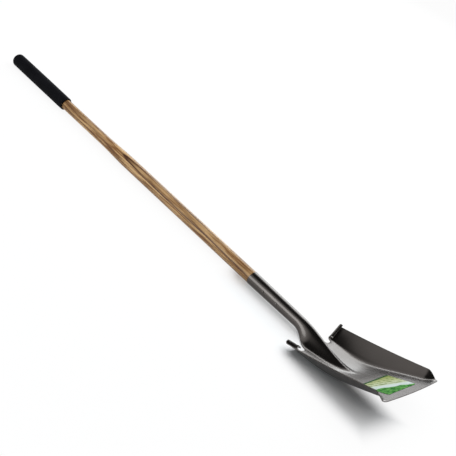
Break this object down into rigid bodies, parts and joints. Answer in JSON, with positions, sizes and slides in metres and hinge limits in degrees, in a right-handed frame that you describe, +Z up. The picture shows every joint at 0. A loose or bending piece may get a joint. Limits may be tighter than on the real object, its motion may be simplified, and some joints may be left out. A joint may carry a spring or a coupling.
{
  "type": "square shovel",
  "caption": "Long-handled square shovel: a pressed steel blade with frog and socket, riveted to an ash handle that ends in a soft cushion grip.",
  "frame": {"origin": "centre of the bounding box's base, on the ground that the tool lies on", "axes": "+Y along the ground from the grip to the blade's front edge, +X the user's right hand, +Z up, away from the ground and out of the side of the blade that carries the load"},
  "size_m": [0.2524, 1.604, 0.1038],
  "materials": {
    "lacquered_steel": "glossy grey lacquer over pressed steel",
    "ash": "clear satin lacquer",
    "grip_foam": "soft matte foam with a closed skin",
    "sticker": "satin printed foil",
    "rivet_steel": "lacquered with the socket"
  },
  "bodies": {
    "root": {"blade_and_socket": "lacquered_steel", "ash_handle": "ash", "cushion_grip": "grip_foam", "label": "sticker", "rivet_lower": "rivet_steel", "rivet_upper": "rivet_steel"}
  },
  "joints": []
}
